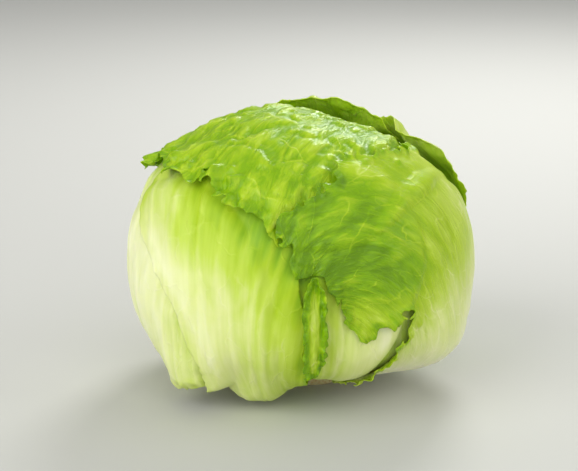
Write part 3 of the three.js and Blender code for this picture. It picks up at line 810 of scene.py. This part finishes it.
# %% Stem and heart finishes
def banded_finish(name, roughness, stops, ring, patch_size, spot_size):
    finish, tree, shader = new_finish(name)
    place = add(tree, "ShaderNodeTexCoord").outputs["Object"]
    flat = add(tree, "ShaderNodeVectorMath", {0: place, 1: (1, 1, 0)}, operation="MULTIPLY")
    out = add(tree, "ShaderNodeVectorMath", {0: flat}, operation="LENGTH").outputs["Value"]
    band = add(tree, "ShaderNodeMapRange", {0: out, 1: ring[0] * MM, 2: ring[1] * MM})
    patch = add(tree, "ShaderNodeTexNoise", {"Vector": place, "Scale": 1 / (patch_size * MM), "Detail": 4.0})
    spot = add(tree, "ShaderNodeTexVoronoi", {"Vector": place, "Scale": 1 / (spot_size * MM)})
    spot = add(tree, "ShaderNodeMapRange", {0: spot, 1: 0.1, 2: 0.5, 3: 1.0, 4: 0.0})
    tone = add(tree, "ShaderNodeMath", {0: band, 1: 0.45, 2: -0.35}, operation="MULTIPLY_ADD")
    tone = add(tree, "ShaderNodeMath", {0: patch, 1: 0.9, 2: tone}, operation="MULTIPLY_ADD")
    tone = add(tree, "ShaderNodeMath", {0: spot, 1: 0.2, 2: tone}, operation="MULTIPLY_ADD")
    colour = add(tree, "ShaderNodeValToRGB", {"Fac": tone}, stops)
    tree.links.new(colour.outputs["Color"], shader.inputs["Base Color"])
    height = add(tree, "ShaderNodeMath", {0: spot, 1: -0.2, 2: patch}, operation="MULTIPLY_ADD")
    bump = add(tree, "ShaderNodeBump", {"Strength": 0.6, "Distance": 0.5 * MM, "Height": height})
    tree.links.new(bump.outputs[0], shader.inputs["Normal"])
    rough = add(tree, "ShaderNodeMapRange", {0: patch, 1: 0.3, 2: 0.7, 3: roughness - 0.1, 4: roughness + 0.1})
    tree.links.new(rough.outputs[0], shader.inputs["Roughness"])
    shader.inputs["Subsurface Weight"].default_value = 0.2
    shader.inputs["Subsurface Scale"].default_value = 2 * MM
    return finish


# Cut stem: pale pith that browns towards the rim, dull where it has dried.
stem_finish = banded_finish("cut_stem", 0.6, [
    (0.0, "#efedc8"), (0.4, "#e6e2b4"), (0.6, "#d6c890"), (0.8, "#c59c6c"), (1.0, "#96714a")], (6, 14), 9.0, 1.6)
# Heart leaf: the pale yellow of leaves that never saw light, satin.
heart_finish = banded_finish("heart_leaf", 0.45, [
    (0.0, "#f3f0bd"), (0.4, "#eceba6"), (0.7, "#dfe489"), (1.0, "#c8d766")], (0, 80), 14.0, 5.0)
for material_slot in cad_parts["heart"].material_slots:
    material_slot.material = heart_finish
print("finishes:", stem_finish.name, heart_finish.name)

# %% Make the stem
STEM_PROFILE = [(0, 0.7), (3, 0.6), (6, 0.5), (8, 0.4), (9.5, 0.3), (11, 0.15), (12.2, 0.0), (12.9, 0.1), (13.4, 0.6),
                (13.8, 1.5), (13.9, 3), (14, 5), (14, 7.5), (13.7, 11), (13.2, 16), (12.6, 21), (11, 30), (9.1, 39),
                (7, 44.5), (4.9, 49), (2.4, 51.2), (0, 52)]
STEM_SIDES = 96


def stem_mesh():
    rings = np.array(STEM_PROFILE[1:-1], float)
    angle = np.linspace(0, math.tau, STEM_SIDES, endpoint=False)
    r, z = np.repeat(rings[:, 0], STEM_SIDES), np.repeat(rings[:, 1], STEM_SIDES)
    turn = np.tile(angle, len(rings))
    scars = soft_noise(np.stack([4.5 * np.cos(turn), 4.5 * np.sin(turn), z / 2.2], 1), 53)
    lean = soft_noise(np.stack([1.6 * np.cos(turn), 1.6 * np.sin(turn), z / 30], 1), 59)
    r = r * (1 + 0.025 * lean) + 0.35 * scars * smoothstep(11, 13.5, r)
    ring_points = np.stack([r * np.cos(turn), r * np.sin(turn), z], 1)
    points = np.concatenate([[(0, 0, STEM_PROFILE[0][1])], ring_points, [(0, 0, STEM_PROFILE[-1][1])]])
    last = len(points) - 1
    faces = []
    for k in range(STEM_SIDES):
        n = (k + 1) % STEM_SIDES
        faces.append((0, 1 + n, 1 + k))
        for row in range(len(rings) - 1):
            low, high = 1 + row * STEM_SIDES, 1 + (row + 1) * STEM_SIDES
            faces.append((low + k, low + n, high + n, high + k))
        top = 1 + (len(rings) - 1) * STEM_SIDES
        faces.append((top + k, top + n, last))
    mesh = bpy.data.meshes.new("stem")
    mesh.from_pydata((points * MM).tolist(), [], faces)
    mesh.materials.append(stem_finish)
    mesh.shade_smooth()
    return mesh


stem = new_object("cut_stem", stem_mesh())
stand_for(stem, "stem")
print(stem.name, len(stem.data.polygons), "faces")

# %% [markdown]
# ## Floor and light
# A plain pale floor, with five soft lamps: one high up behind for the shine along the crest, a large one on
# each side, one in front, and a wide one overhead that lights the floor evenly.

# %% Floor
floor_mesh = bpy.data.meshes.new("floor")
floor_mesh.from_pydata([(-4, -4, 0), (4, -4, 0), (4, 4, 0), (-4, 4, 0)], [], [(0, 1, 2, 3)])
floor = new_object("floor", floor_mesh)
floor_finish, floor_tree, floor_shader = new_finish("floor")
floor_shader.inputs["Base Color"].default_value = linear("#c6c6c0")
floor_shader.inputs["Roughness"].default_value = 0.8
floor_mesh.materials.append(floor_finish)
print("floor", round(floor.dimensions.x, 1), "m wide")

# %% Lamps
MIDDLE = (-0.005, 0, 0.065)


def soft_lamp(name, place, width, power):
    lamp = bpy.data.lights.new(name, "AREA")
    lamp.shape, lamp.size, lamp.energy = "DISK", width, power
    body = new_object(name, lamp)
    body.location = place
    body.rotation_euler = (Vector(place) - Vector(MIDDLE)).to_track_quat("Z", "Y").to_euler()
    return body


lamps = [
    soft_lamp("crest_lamp", (0.25, 0.8, 0.7), 0.4, 6.0),
    soft_lamp("right_lamp", (1.8, -0.2, 0.85), 1.5, 11),
    soft_lamp("left_lamp", (-1.45, -1.2, 1.05), 2.1, 35),
    soft_lamp("front_lamp", (0.65, -2.0, 1.05), 2.1, 18),
    soft_lamp("sky_lamp", (0, 0.3, 2.2), 3.0, 12),
]
world = bpy.data.worlds.new("studio")
bpy.context.scene.world = world
world.use_nodes = True
world.node_tree.nodes["Background"].inputs["Color"].default_value = (0.97, 0.98, 1.0, 1)
world.node_tree.nodes["Background"].inputs["Strength"].default_value = 0.22
bpy.context.scene.view_settings.view_transform = "Standard"
print(len(lamps), "lamps")
